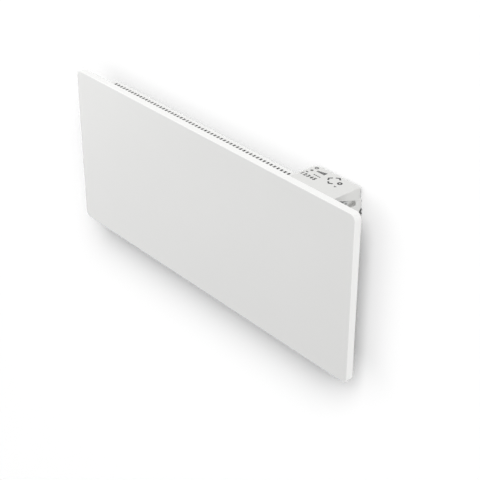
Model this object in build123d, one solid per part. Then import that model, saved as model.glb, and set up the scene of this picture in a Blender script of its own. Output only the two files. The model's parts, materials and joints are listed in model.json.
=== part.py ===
from build123d import *
import os

os.makedirs("parts", exist_ok=True)

# Wall-hung panel convector heater with a control box behind its right end.
# All sizes are in millimetres. The origin is the centre of the wall bracket's
# four fixing holes, on the wall. +X runs to the right of someone who faces the
# heater, +Y goes into the wall and +Z is up.

# Whole heater
heater_depth = 90.0
hole_pattern_below_centre = 0.0
overlap = 1.0

# Front panel: one sheet folded back all round
panel_width = 866.0
panel_height = 370.0
panel_return = 16.0
panel_sheet = 1.0
panel_corner_radius = 13.5
panel_bend_radius = 1.6
stud_radius = 2.0
stud_length = 7.0
stud_edge_margin = 24.0
stud_spacing = 270.0
stud_hole_clearance = 0.25
nut_across_flats = 7.0
nut_height = 3.2

# Stiffeners behind the front panel
stiffener_spacing = 400.0
stiffener_depth = 8.0
stiffener_crown = 24.0
stiffener_brim = 10.0
stiffener_end_gap = 14.0
stiffener_sheet = 0.8
stiffener_draft = 2.0

# Heat shield between the element and the front panel
shield_height = 190.0
shield_end_gap = 24.0
shield_bottom_rise = 14.0
shield_lip = 8.0
shield_sheet = 0.6

# Rear casing: the air channel
side_inset = 68.5
casing_top_drop = 20.0
casing_bottom_rise = 22.0
casing_wall_gap = 30.0
casing_sheet = 0.8
casing_bend_radius = 3.0
casing_flange = 13.0
bead_height = 12.0
bead_depth = 2.0
bead_length = 330.0
bead_spacing = 60.0

# Outlet slots on top and inlet slots below
slot_pitch = 10.0
slot_width = 5.5
slot_front_margin = 12.0
slot_rear_margin = 10.0
slot_end_margin = 9.0
outlet_blank = 24.0
inlet_pitch = 36.0
inlet_width = 24.0

# End plates
end_plate_flange = 12.0
end_plate_bend_radius = 2.0

# Control box
control_width = 120.0
control_height = 128.0
control_panel_gap = 0.3
control_wall_gap = 1.5
control_side_gap = 6.5
control_wall = 2.2
control_corner_radius = 11.0
control_small_radius = 4.0
cap_height = 26.0
cap_rear_inset = 2.7
cap_side_inset = 0.8
cap_wall = 2.0
cap_edge_radius = 1.6

# Switch pocket in the side of the control box
pocket_front = 28.0
pocket_rear = 72.0
pocket_rear_top_drop = 23.3
pocket_front_top_drop = 9.5
pocket_bottom_drop = 33.2
pocket_depth = 9.0
pocket_wall = 2.0
pocket_cap_gap = 0.5

# Mains rocker switch
switch_length = 21.0
switch_height = 15.0
switch_bezel = 1.6
switch_body_length = 19.0
switch_body_height = 12.8
switch_body_depth = 15.0
switch_position = 47.0
rocker_length = 16.4
rocker_height = 10.4
rocker_gap = 0.3
rocker_rise = 4.2
rocker_dip = 1.6
rocker_tilt = 9.0
rocker_pin_radius = 1.2
rocker_pin_clearance = 0.05
rocker_pin_length = 0.6
rocker_pin_end_gap = 0.1
blade_width = 4.8
blade_thickness = 0.8
blade_length = 7.0

# Supply cord inlet
inlet_drop = 51.0
grommet_radius = 4.6
grommet_bore_radius = 3.0
grommet_flange = 1.0
grommet_flange_thickness = 1.1

# Circuit boards and what they carry
board_thickness = 1.6
board_margin = 8.0
board_gap = 2.0
board_post_radius = 3.5
power_board_rise = 7.0
touch_board_drop = 4.0
relay_size = (20.0, 16.0, 18.0)
relay_share = 0.25
terminal_block_size = (32.0, 12.0, 14.0)
terminal_screw_depth = 4.0
terminal_mouth_depth = 5.0
terminal_mouth_rise = 2.0
terminal_mouth_height = 6.0
terminal_share = 0.4
capacitor_radius = 6.5
capacitor_height = 16.0
capacitor_share = 0.8

# Screws that hold the control box to its shelf
shelf_screw_radius = 1.75
shelf_screw_clearance = 0.3
shelf_screw_length = 8.0
screw_head_radius = 3.4
screw_head_height = 2.2
shelf_screw_spacing = 70.0

# Finned heating element
element_end_gap = 62.0
element_rise = 84.0
hub_radius = 7.5
fin_reach = 33.0
side_fin_reach = 22.0
side_fin_angle = 42.0
fin_root = 2.6
fin_tip = 1.4
slit_pitch = 75.0
slit_width = 3.0
slit_root = 9.0
core_radius = 4.2
core_clearance = 0.1
core_overhang = 26.0
core_pin_width = 3.2
core_pin_length = 9.0
insulator_width = 18.0
insulator_length = 14.0
insulator_collar_width = 24.0
insulator_collar = 3.0
insulator_inside = 2.0
element_bracket_width = 46.0
element_bracket_foot = 14.0
element_bracket_sheet = 1.2
element_bracket_bend = 2.0
element_bracket_gap = 6.0
element_bracket_margin = 3.0

# Overheat cut-out, thermal fuse and room sensor
cutout_radius = 8.0
cutout_height = 9.0
cutout_plate_length = 32.0
cutout_plate_width = 14.0
cutout_plate_thickness = 1.0
cutout_rise = 70.0
cutout_shift = 40.0
fuse_radius = 3.0
fuse_length = 28.0
fuse_stub_length = 8.0
fuse_stub_width = 1.5
fuse_shift = 110.0
clip_thickness = 1.0
clip_width = 10.0
sensor_radius = 2.5
sensor_length = 16.0
sensor_inset = 11.0
sensor_drop = 3.0

# Element leads
lead_radius = 1.3
lead_bend_radius = 12.0
lead_hole_radius = 5.0
lead_hole_margin = 4.0
lead_spacing = 5.0
lead_tail = 4.0
lead_drop = 20.0
lead_rise = 43.0

# Wall bracket
rail_bay_gap = 38.0
rail_width = 30.0
rail_depth = 12.0
rail_sheet = 1.5
rail_top_drop = 30.0
rail_bottom_rise = 28.0
cross_rail_height = 34.0
cross_rail_depth = 8.0
hole_end_margin = 35.0
hole_radius = 3.5
hook_width = 20.0
hook_thickness = 2.0
hook_bend_radius = 2.5
hook_rise = 53.0
hook_lip = 8.0
hook_lip_gap = 3.2
hook_window_clearance = 2.0
lock_arm_width = 24.0
lock_arm_below_pivot = 18.0
lock_arm_above_pivot = 13.0
lock_arm_front_gap = 5.0

# Turn-locks and the catches that they hold
lock_top_drop = 35.0
lock_thickness = 2.2
lock_gap = 0.2
lock_hub_radius = 10.0
lock_tongue_length = 33.0
lock_tongue_width = 10.0
lock_thumb_length = 22.0
lock_thumb_width = 9.0
lock_thumb_grip = 8.0
rivet_radius = 3.0
rivet_clearance = 0.05
rivet_neck_width = 5.0
rivet_head_radius = 6.0
rivet_head_height = 1.1
catch_width = 14.0
catch_offset = 26.0
catch_sheet = 1.2
catch_foot = 18.0
catch_reach = 8.5
catch_lip = 16.0
catch_below_lock = 9.0

# Distance spacers at the lower corners
spacer_base_radius = 11.0
spacer_draft = 5.0
spacer_wall = 3.0
spacer_inset = 34.0
spacer_rise = 24.0

# Places that follow from the sizes above
front_y = -heater_depth
panel_back_y = front_y + panel_sheet
panel_top = panel_height / 2 + hole_pattern_below_centre
panel_bottom = panel_top - panel_height
casing_right = panel_width / 2 - side_inset
casing_left = -casing_right
casing_back_y = -casing_wall_gap
casing_inner_y = casing_back_y - casing_sheet
casing_top = panel_top - casing_top_drop
casing_bottom = panel_bottom + casing_bottom_rise
control_right = casing_right
control_left = control_right - control_width
control_bottom = panel_top - control_height
control_front_y = front_y + panel_return + control_panel_gap
control_rear_y = -control_wall_gap
bay_left = control_left - control_side_gap
rail_spacing = 2 * (bay_left - rail_bay_gap)
rail_top = casing_top - rail_top_drop
rail_bottom = casing_bottom + rail_bottom_rise
hook_z = casing_bottom + hook_rise
lock_z = casing_top - lock_top_drop
cap_bottom = panel_top - cap_height
cap_rear_y = control_rear_y - cap_rear_inset
cap_right = control_right - cap_side_inset
cap_left = control_left + cap_side_inset
pocket_front_y = front_y + pocket_front
pocket_rear_y = front_y + pocket_rear
pocket_floor_z = panel_top - pocket_bottom_drop
pocket_back_x = control_right - pocket_depth
switch_y = front_y + switch_position
switch_z = pocket_floor_z + switch_height / 2 + pocket_cap_gap
rocker_pivot_x = pocket_back_x + switch_bezel / 2
element_z = casing_bottom + element_rise
element_y = (panel_back_y + stiffener_depth + casing_inner_y) / 2
element_left = casing_left + element_end_gap
element_right = casing_right - element_end_gap
inlet_z = panel_top - inlet_drop
lock_arm_y = casing_back_y + lock_arm_front_gap
lock_front_y = lock_arm_y - lock_gap - lock_thickness
stud_top_z = casing_top + casing_flange / 2 + casing_bend_radius / 2
stud_bottom_z = casing_bottom - casing_flange / 2 - casing_bend_radius / 2


def block(x_range, y_range, z_range):
    # A box between two values on each axis
    size = [high - low for low, high in (x_range, y_range, z_range)]
    middle = [(low + high) / 2 for low, high in (x_range, y_range, z_range)]
    return Pos(*middle) * Box(*size)


def rod_x(radius, x_range, y, z):
    # A round bar along X
    length = x_range[1] - x_range[0]
    return Pos(sum(x_range) / 2, y, z) * Rot(0, 90, 0) * Cylinder(radius, length)


def rod_y(radius, y_range, x, z):
    # A round bar along Y
    length = y_range[1] - y_range[0]
    return Pos(x, sum(y_range) / 2, z) * Rot(90, 0, 0) * Cylinder(radius, length)


def rod_z(radius, z_range, x, y):
    # A round bar along Z
    length = z_range[1] - z_range[0]
    return Pos(x, y, sum(z_range) / 2) * Cylinder(radius, length)


def peg_x(radius, x_range, y, z):
    # A small eight-sided bar along X, for the fuse and the sensor
    blank = extrude(RegularPolygon(radius, 8), x_range[1] - x_range[0])
    return Pos(x_range[0], y, z) * Rot(0, 90, 0) * blank


def peg_z(radius, z_range, x, y):
    # A small eight-sided bar along Z, for posts and screws
    blank = extrude(RegularPolygon(radius, 8), z_range[1] - z_range[0])
    return Pos(x, y, z_range[0]) * blank


def peg_y(radius, y_range, x, z):
    # A small eight-sided bar along Y, for studs and rivet heads
    blank = extrude(RegularPolygon(radius, 8), y_range[1] - y_range[0])
    return Pos(x, y_range[0], z) * Rot(-90, 0, 0) * blank


def folded_sheet(points, bend_radius, sheet, plane, start, length):
    # A folded strip: its section is drawn on a plane, with the sheet to the right
    # of the line, and runs from start along the positive row axis. Without a bend
    # radius its folds are sharp.
    if bend_radius:
        line = FilletPolyline(*points, radius=bend_radius)
        section = offset(line, amount=sheet, side=Side.RIGHT, kind=Kind.ARC, closed=True)
    else:
        line = Polyline(*points)
        section = offset(line, amount=sheet, side=Side.RIGHT, kind=Kind.INTERSECTION, closed=True)
    along = {"YZ": (1, 0, 0), "XZ": (0, 1, 0), "XY": (0, 0, 1)}[plane]
    base = {"YZ": Plane.YZ, "XZ": Plane.XZ, "XY": Plane.XY}[plane]
    strip = extrude(base * make_face(section.edges()), length, dir=along)
    return Pos(*[start * step for step in along]) * strip


def row_of_places(low, high, pitch):
    # Evenly pitched places, centred between two limits
    count = int((high - low) // pitch) + 1
    first = (low + high - pitch * (count - 1)) / 2
    return [first + pitch * number for number in range(count)]


def save(name, shape):
    export_step(shape, f"parts/{name}.step")
    print(name, len(shape.solids()), round(shape.volume))


def stud_places():
    # Weld studs along the casing's top and bottom flanges
    low = casing_left + stud_edge_margin
    top = row_of_places(low, bay_left - stud_edge_margin, stud_spacing)
    bottom = row_of_places(low, casing_right - stud_edge_margin, stud_spacing)
    return [(x, stud_top_z) for x in top] + [(x, stud_bottom_z) for x in bottom]


def front_panel():
    # A shallow tray: flat face, rolled corners, a return all round
    half_width = panel_width / 2
    tray = block(
        (-half_width, half_width), (front_y, front_y + panel_return), (panel_bottom, panel_top)
    )
    tray = fillet(tray.edges().filter_by(Axis.Y), panel_corner_radius)
    tray = fillet(tray.faces().sort_by(Axis.Y)[0].edges(), panel_bend_radius)
    inner_width = half_width - panel_sheet
    hollow = block(
        (-inner_width, inner_width),
        (panel_back_y, front_y + 2 * panel_return),
        (panel_bottom + panel_sheet, panel_top - panel_sheet),
    )
    hollow = fillet(hollow.edges().filter_by(Axis.Y), panel_corner_radius - panel_sheet)
    hollow = chamfer(hollow.faces().sort_by(Axis.Y)[0].edges(), panel_bend_radius - panel_sheet)
    tray -= hollow
    for x, z in stud_places():
        tray += peg_y(stud_radius, (panel_back_y - panel_sheet / 2, panel_back_y + stud_length), x, z)
    return tray


def panel_nuts():
    # Hex nuts that clamp the casing's flanges to the panel's studs
    flange_y = panel_back_y + casing_sheet
    nuts = []
    for x, z in stud_places():
        blank = extrude(RegularPolygon(nut_across_flats / 2, 6, major_radius=False), nut_height)
        nut = Pos(x, flange_y, z) * Rot(-90, 0, 0) * blank
        nuts.append(nut - peg_y(stud_radius, (flange_y - overlap, flange_y + 2 * nut_height), x, z))
    return Compound(children=nuts)


def stiffener(x):
    # A hat-section stiffener welded upright behind the face
    half = stiffener_crown / 2
    brim = half + stiffener_brim
    low_y = panel_back_y + stiffener_sheet
    high_y = panel_back_y + stiffener_depth
    right_half = [(half, high_y), (half + stiffener_draft, low_y), (brim, low_y)]
    left_half = [(-across, y) for across, y in reversed(right_half)]
    points = [(x + across, y) for across, y in left_half + right_half]
    low = casing_bottom + stiffener_end_gap
    length = casing_top - stiffener_end_gap - low
    return folded_sheet(points, None, stiffener_sheet, "XY", low, length)


def heat_shield():
    # A bright sheet with its top and bottom edges folded towards the element
    low = casing_bottom + shield_bottom_rise
    high = low + shield_height
    face_y = panel_back_y + stiffener_depth
    points = [
        (face_y + shield_lip, high - shield_lip / 2),
        (face_y, high),
        (face_y, low),
        (face_y + shield_lip, low + shield_lip / 2),
    ]
    width = 2 * (casing_right - shield_end_gap)
    return folded_sheet(points[::-1], None, shield_sheet, "YZ", -width / 2, width)


def air_slots(places, width, z):
    # Straight slots that run from front to back
    slots = []
    for x in places:
        slot = block(
            (x - width / 2, x + width / 2),
            (panel_back_y + slot_front_margin, casing_back_y - slot_rear_margin),
            (z - 2 * casing_sheet, z + 2 * casing_sheet),
        )
        slots.append(slot)
    return slots


def pressed_bead(x, z, length):
    # A long bead with sloping sides, pressed out of the back wall towards the wall
    outer = block((-length / 2, length / 2), (0, bead_depth), (-bead_height / 2, bead_height / 2))
    outer = chamfer(outer.faces().sort_by(Axis.Y)[-1].edges(), bead_depth - casing_sheet / 2)
    wide = length / 2 - casing_sheet
    high = bead_height / 2 - casing_sheet
    inner = block((-wide, wide), (0, bead_depth), (-high, high))
    inner = chamfer(inner.faces().sort_by(Axis.Y)[-1].edges(), bead_depth - casing_sheet / 2)
    return Pos(x, casing_back_y, z) * outer, Pos(x, casing_inner_y, z) * inner


def rear_casing():
    # One folded sheet: slotted top, back wall, slotted bottom and two front flanges
    flange_y = panel_back_y + casing_sheet
    points = [
        (flange_y, casing_top + casing_flange),
        (flange_y, casing_top),
        (casing_back_y, casing_top),
        (casing_back_y, casing_bottom),
        (flange_y, casing_bottom),
        (flange_y, casing_bottom - casing_flange),
    ]
    length = casing_right - casing_left
    shell = folded_sheet(points, casing_bend_radius, casing_sheet, "YZ", casing_left, length)
    for z in (-bead_spacing, 0, bead_spacing):
        rise, hollow = pressed_bead(0, z, bead_length)
        shell = shell + rise - hollow
    margin = slot_end_margin + slot_width / 2
    outlets = row_of_places(casing_left + margin, bay_left - outlet_blank, slot_pitch)
    inlets = row_of_places(casing_left + inlet_pitch, casing_right - inlet_pitch, inlet_pitch)
    cuts = air_slots(outlets, slot_width, casing_top)
    cuts += air_slots(inlets, inlet_width, casing_bottom)
    bay = block((bay_left, casing_right + overlap), (front_y, 0), (control_bottom, panel_top))
    cuts.append(bay)
    cuts += [hook_window(side) for side in (-1, 1)]
    for x, z in stud_places():
        cuts.append(peg_y(stud_radius + stud_hole_clearance, (front_y, flange_y + overlap), x, z))
    return shell - cuts


def hook_window(side):
    # The window that drops over a bracket hook; its top edge rests on the hook
    half = hook_width / 2 + hook_window_clearance
    middle = side * rail_spacing / 2
    depth = hook_thickness + hook_lip + hook_window_clearance
    return block(
        (middle - half, middle + half),
        (casing_inner_y - overlap, casing_back_y + overlap),
        (hook_z - depth, hook_z),
    )


def end_plate(side, top_z):
    # A plate with flanges turned inwards along the back wall and the front panel
    points = [
        (casing_right - end_plate_flange, panel_back_y),
        (casing_right, panel_back_y),
        (casing_right, casing_inner_y),
        (casing_right - end_plate_flange, casing_inner_y),
    ]
    low = casing_bottom + casing_sheet
    plate = folded_sheet(points[::-1], end_plate_bend_radius, casing_sheet, "XY", low, top_z - low)
    if side < 0:
        plate = mirror(plate, about=Plane.YZ)
    return plate & casing_space()


def casing_space():
    # The room inside the casing, rounded where the sheet is bent
    space = block(
        (casing_left, casing_right),
        (panel_back_y, casing_inner_y),
        (casing_bottom + casing_sheet, casing_top - casing_sheet),
    )
    return fillet(space.edges().filter_by(Axis.X).group_by(Axis.Y)[-1], casing_bend_radius)


def bay_divider():
    # An L-shaped shelf that keeps the hot air away from the control box
    points = [
        (bay_left, casing_top - casing_sheet),
        (bay_left, control_bottom),
        (casing_right, control_bottom),
    ]
    depth = casing_inner_y - panel_back_y
    shelf = folded_sheet(points, casing_bend_radius, casing_sheet, "XZ", panel_back_y, depth)
    radius = shelf_screw_radius + shelf_screw_clearance
    holes = [peg_z(radius, shelf_depth_range(), x, y) for x, y in shelf_screw_places()]
    holes.append(lead_hole())
    return (shelf - holes) & casing_space()


def shelf_screw_places():
    middle = (control_left + control_right) / 2
    y = (control_front_y + casing_inner_y) / 2
    return [(middle - shelf_screw_spacing / 2, y), (middle + shelf_screw_spacing / 2, y)]


def shelf_depth_range():
    return (control_bottom - 2 * control_wall, control_bottom + 2 * control_wall)


def lead_hole():
    # One eight-sided hole for both element leads, through the shelf and the control box
    x, y = lead_hole_place()
    return peg_z(lead_hole_radius, shelf_depth_range(), x, y)


def lead_hole_place():
    return (control_left + control_right) / 2, casing_inner_y - lead_hole_radius - lead_hole_margin


def heating_element():
    # An extruded core with tapered fins, slit at a steady pitch so that it can expand
    section = Sketch() + Circle(hub_radius)
    reaches = [(90, fin_reach), (270, fin_reach)]
    reaches += [(90 + turn, side_fin_reach) for turn in (side_fin_angle, -side_fin_angle)]
    reaches += [(270 + turn, side_fin_reach) for turn in (side_fin_angle, -side_fin_angle)]
    for angle, reach in reaches:
        root = fin_root / 2
        tip = fin_tip / 2
        fin = make_face(Polyline((0, -root), (reach, -tip), (reach, tip), (0, root), close=True))
        section += Rot(0, 0, angle) * fin
    section -= Circle(core_radius + core_clearance)
    length = element_right - element_left
    body = Pos(element_left, element_y, element_z) * extrude(Plane.YZ * section, length, dir=(1, 0, 0))
    slits = []
    for x in row_of_places(element_left + slit_pitch / 2, element_right - slit_pitch / 2, slit_pitch):
        for side in (-1, 1):
            middle = element_z + side * (slit_root + fin_reach)
            slits.append(Pos(x, element_y, middle) * Box(slit_width, 2 * fin_reach, 2 * fin_reach))
    return body - slits


def element_core():
    # The sheathed resistance rod, with a terminal pin at each end
    low = element_left - core_overhang
    high = element_right + core_overhang
    rod = rod_x(core_radius, (low, high), element_y, element_z)
    reach = core_pin_length + overlap
    for start in (low - core_pin_length, high - overlap):
        rod += Pos(start + reach / 2, element_y, element_z) * Box(reach, core_pin_width, core_pin_width)
    return rod


def insulator(side):
    # A square ceramic bush with a collar that bears on the element bracket
    inner = element_right + element_bracket_gap if side > 0 else element_left - element_bracket_gap
    collar_x = inner + side * (element_bracket_sheet + insulator_collar / 2)
    sleeve_x = inner + side * (insulator_length / 2 - insulator_inside)
    bush = Pos(sleeve_x, element_y, element_z) * Box(insulator_length, insulator_width, insulator_width)
    collar = Box(insulator_collar, insulator_collar_width, insulator_collar_width)
    bush += Pos(collar_x, element_y, element_z) * collar
    bore = (sleeve_x - insulator_length, sleeve_x + insulator_length)
    return bush - rod_x(core_radius, bore, element_y, element_z)


def element_bracket(side):
    # A folded plate, footed on the casing's back wall, that holds the insulator
    inner = element_right + element_bracket_gap if side > 0 else element_left - element_bracket_gap
    foot_end = inner + side * element_bracket_foot
    reach = element_y - insulator_collar_width / 2 - element_bracket_margin
    points = [(inner, reach), (inner, casing_inner_y), (foot_end, casing_inner_y)]
    if side < 0:
        points = points[::-1]
    width = element_bracket_width
    low = element_z - width / 2
    plate = folded_sheet(points, element_bracket_bend, element_bracket_sheet, "XY", low, width)
    opening = Box(2 * element_bracket_bend, insulator_width, insulator_width)
    return plate - Pos(inner, element_y, element_z) * opening


def overheat_cutout():
    # A snap-disc cut-out with a fixing plate and two blade terminals
    z = element_z + cutout_rise
    plate_y = casing_inner_y - cutout_plate_thickness
    flange = block(
        (cutout_shift - cutout_plate_length / 2, cutout_shift + cutout_plate_length / 2),
        (plate_y, casing_inner_y),
        (z - cutout_plate_width / 2, z + cutout_plate_width / 2),
    )
    body = rod_y(cutout_radius, (plate_y - cutout_height, plate_y), cutout_shift, z)
    front = plate_y - cutout_height
    blades = [
        block(
            (cutout_shift + shift - blade_width / 2, cutout_shift + shift + blade_width / 2),
            (front - blade_length, front + overlap),
            (z - blade_thickness / 2, z + blade_thickness / 2),
        )
        for shift in (-blade_width, blade_width)
    ]
    return flange + body + blades


def fuse_clip():
    # A saddle clip with one foot that holds the thermal fuse to the back wall
    z = element_z + cutout_rise
    x = cutout_shift + fuse_shift
    outer = fuse_radius + clip_thickness
    centre_y = casing_inner_y - outer
    span = (x - clip_width / 2, x + clip_width / 2)
    saddle = block(span, (casing_inner_y - 2 * outer, casing_inner_y), (z - outer, z + outer))
    foot = block(span, (casing_inner_y - clip_thickness, casing_inner_y), (z, z + 3 * clip_width / 2))
    return saddle + foot - peg_x(fuse_radius, (x - clip_width, x + clip_width), centre_y, z)


def thermal_fuse():
    # A one-shot fuse in a ceramic sleeve, with a lead stub at each end
    z = element_z + cutout_rise
    x = cutout_shift + fuse_shift
    centre_y = casing_inner_y - fuse_radius - clip_thickness
    body = peg_x(fuse_radius, (x - fuse_length / 2, x + fuse_length / 2), centre_y, z)
    stubs = Pos(x, centre_y, z) * Box(fuse_length + 2 * fuse_stub_length, fuse_stub_width, fuse_stub_width)
    return body + stubs


def sensor_place():
    return casing_right - sensor_inset, (panel_back_y + casing_inner_y) / 2


def sensor_clip():
    # A moulded clip under the casing that holds the room sensor in the incoming air
    x, y = sensor_place()
    outer = sensor_radius + 2 * clip_thickness
    centre_z = casing_bottom - sensor_drop - outer
    span = (x - clip_width / 2, x + clip_width / 2)
    body = block(span, (y - outer, y + outer), (centre_z - outer, casing_bottom))
    body = chamfer(body.edges().filter_by(Axis.X).group_by(Axis.Z)[0], clip_thickness)
    return body - peg_x(sensor_radius, (x - clip_width, x + clip_width), y, centre_z)


def room_sensor():
    # The sensor bead in its sleeve
    x, y = sensor_place()
    centre_z = casing_bottom - sensor_drop - sensor_radius - 2 * clip_thickness
    return peg_x(sensor_radius, (x - sensor_length / 2, x + sensor_length / 2), y, centre_z)


def control_block(left, right, rear, low, high):
    # The control box's plan: one wide rounded corner at the rear left
    body = block((left, right), (control_front_y, rear), (low, high))
    upright = body.edges().filter_by(Axis.Z)
    rear_edges = upright.group_by(Axis.Y)[-1].sort_by(Axis.X)
    front_edges = upright.group_by(Axis.Y)[0]
    body = fillet(rear_edges[0], control_corner_radius)
    near = body.edges().filter_by(Axis.Z).group_by(Axis.X)[-1].sort_by(Axis.Y)[-1]
    return fillet(near, control_small_radius)


def pocket_outline(offset_in, top_lift):
    # The slanted side opening, wider by offset_in and open above by top_lift
    front = pocket_front_y - offset_in
    rear = pocket_rear_y + offset_in
    low = pocket_floor_z - offset_in
    rear_top = panel_top - pocket_rear_top_drop + top_lift
    front_top = panel_top - pocket_front_top_drop + top_lift
    return make_face(Polyline((front, low), (rear, low), (rear, rear_top), (front, front_top), close=True))


def control_cap():
    # The top of the control box: the touch surface, with a skirt all round
    cap = control_block(cap_left, cap_right, cap_rear_y, cap_bottom, panel_top)
    cap = fillet(cap.faces().sort_by(Axis.Z)[-1].edges(), cap_edge_radius)
    cap = offset(cap, amount=-cap_wall, openings=cap.faces().sort_by(Axis.Z)[0])
    opening = extrude(Plane.YZ * pocket_outline(0, 0), 4 * cap_wall, dir=(1, 0, 0))
    cap -= Pos(cap_right - 2 * cap_wall, 0, 0) * opening
    inner_top = panel_top - cap_wall
    for x, y in board_places(board_margin):
        cap += peg_z(board_post_radius, (inner_top - touch_board_drop, inner_top + cap_wall / 2), x, y)
    return cap


def board_places(margin):
    # Corner places for board posts, kept clear of the switch pocket
    low_x = cap_left + cap_wall + margin
    high_x = pocket_back_x - switch_body_depth - margin
    low_y = control_front_y + control_wall + margin
    high_y = cap_rear_y - cap_wall - margin
    return [(x, y) for x in (low_x, high_x) for y in (low_y, high_y)]


def board_plan():
    # A circuit board's outline, a little clear of the walls and the switch
    low_x = cap_left + cap_wall + board_gap
    high_x = pocket_back_x - switch_body_depth - board_gap
    low_y = control_front_y + control_wall + board_gap
    high_y = cap_rear_y - cap_wall - board_gap
    return (low_x, high_x), (low_y, high_y)


def touch_board():
    # The touch electrodes' board, hung from the cap's posts
    x_range, y_range = board_plan()
    top = panel_top - cap_wall - touch_board_drop
    return block(x_range, y_range, (top - board_thickness, top))


def control_housing():
    # The moulded lower box, with the switch pocket, board posts and the cord notch
    box = control_block(control_left, control_right, control_rear_y, control_bottom, cap_bottom)
    box = offset(box, amount=-control_wall, openings=box.faces().sort_by(Axis.Z)[-1])
    outer_x = cap_right - cap_wall - pocket_cap_gap
    lining_depth = outer_x - pocket_back_x + pocket_wall
    lining = extrude(Plane.YZ * pocket_outline(pocket_wall, 0), lining_depth, dir=(1, 0, 0))
    lining = Pos(pocket_back_x - pocket_wall, 0, 0) * lining
    ledge = block(
        (outer_x - overlap, control_right - control_wall / 2),
        (pocket_front_y - pocket_wall, pocket_rear_y + pocket_wall),
        (pocket_floor_z - pocket_wall, cap_bottom),
    )
    hollow = extrude(Plane.YZ * pocket_outline(0, 3 * pocket_wall), 2 * pocket_depth, dir=(1, 0, 0))
    box = box + lining + ledge - Pos(pocket_back_x, 0, 0) * hollow
    box -= block(
        (pocket_back_x - 2 * pocket_wall, pocket_back_x + overlap),
        (switch_y - switch_body_length / 2, switch_y + switch_body_length / 2),
        (switch_z - switch_body_height / 2, switch_z + switch_body_height / 2),
    )
    floor = control_bottom + control_wall
    for x, y in board_places(board_margin):
        box += peg_z(board_post_radius, (floor - control_wall / 2, floor + power_board_rise), x, y)
    for x, y in shelf_screw_places():
        box += peg_z(board_post_radius, (floor - control_wall / 2, floor + power_board_rise), x, y)
    screw_reach = (control_bottom - overlap, control_bottom + shelf_screw_length)
    for x, y in shelf_screw_places():
        box -= peg_z(shelf_screw_radius, screw_reach, x, y)
    box -= lead_hole()
    return box - cord_notch()


def cord_notch():
    # A half-round notch for the supply cord in the side wall's rear edge, with room
    # behind it for the grommet's inner flange
    inner_x = control_right - control_wall
    notch = rod_x(grommet_radius, (inner_x - overlap, control_right + overlap), control_rear_y, inlet_z)
    room = (inner_x - grommet_flange_thickness - overlap, inner_x)
    return notch + rod_x(grommet_radius + grommet_flange, room, control_rear_y, inlet_z)


def supply_grommet():
    # A rubber U-shaped grommet, flanged on both faces of the wall
    neck = (control_right - control_wall, control_right)
    inner_flange = (neck[0] - grommet_flange_thickness, neck[0])
    outer_flange = (neck[1], neck[1] + grommet_flange_thickness)
    grommet = rod_x(grommet_radius, neck, control_rear_y, inlet_z)
    for flange in (inner_flange, outer_flange):
        grommet += rod_x(grommet_radius + grommet_flange, flange, control_rear_y, inlet_z)
    through = (inner_flange[0] - overlap, outer_flange[1] + overlap)
    grommet -= rod_x(grommet_bore_radius, through, control_rear_y, inlet_z)
    reach = 2 * grommet_radius
    rear_half = block(
        through, (control_rear_y, control_rear_y + reach), (inlet_z - reach, inlet_z + reach)
    )
    return grommet - rear_half


def power_board():
    # The power supply board on the housing's floor posts
    x_range, y_range = board_plan()
    low = control_bottom + control_wall + power_board_rise
    board = block(x_range, y_range, (low, low + board_thickness))
    x, y = lead_hole_place()
    cut_x = (x - lead_hole_radius, x + lead_hole_radius)
    cut_y = (y - lead_hole_radius, y_range[1] + overlap)
    return board - block(cut_x, cut_y, (low - overlap, low + 2 * board_thickness))


def on_power_board(x_share, y, size):
    # A block that stands on the power board
    x_range, _ = board_plan()
    x = x_range[0] + x_share * (x_range[1] - x_range[0])
    low = control_bottom + control_wall + power_board_rise + board_thickness
    half_length = size[0] / 2
    half_width = size[1] / 2
    return block((x - half_length, x + half_length), (y - half_width, y + half_width), (low, low + size[2]))


def relay():
    # The relay that switches the element
    y = cap_rear_y - cap_wall - relay_size[1]
    return on_power_board(relay_share, y, relay_size)


def terminal_block():
    # Three screw terminals for the supply and the element leads
    y = control_front_y + control_wall + terminal_block_size[1]
    body = on_power_board(terminal_share, y, terminal_block_size)
    box = body.bounding_box()
    step = terminal_block_size[0] / 3
    for number in range(3):
        x = box.min.X + step * (number + 0.5)
        body -= peg_z(step / 4, (box.max.Z - terminal_screw_depth, box.max.Z + overlap), x, y)
        body -= block(
            (x - step / 3, x + step / 3),
            (box.min.Y - overlap, box.min.Y + terminal_mouth_depth),
            (box.min.Z + terminal_mouth_rise, box.min.Z + terminal_mouth_rise + terminal_mouth_height),
        )
    return body


def capacitor():
    # The smoothing capacitor beside the relay
    x_range, _ = board_plan()
    x = x_range[0] + capacitor_share * (x_range[1] - x_range[0])
    y = cap_rear_y - cap_wall - 2 * capacitor_radius
    low = control_bottom + control_wall + power_board_rise + board_thickness
    return rod_z(capacitor_radius, (low, low + capacitor_height), x, y)


def shelf_screws():
    # Two screws from below, through the shelf into the housing
    screws = []
    head_top = control_bottom - casing_sheet
    for x, y in shelf_screw_places():
        screw = peg_z(shelf_screw_radius, (head_top - overlap, control_bottom + shelf_screw_length), x, y)
        screw += peg_z(screw_head_radius, (head_top - screw_head_height, head_top), x, y)
        screws.append(screw)
    return Compound(children=screws)


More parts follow.
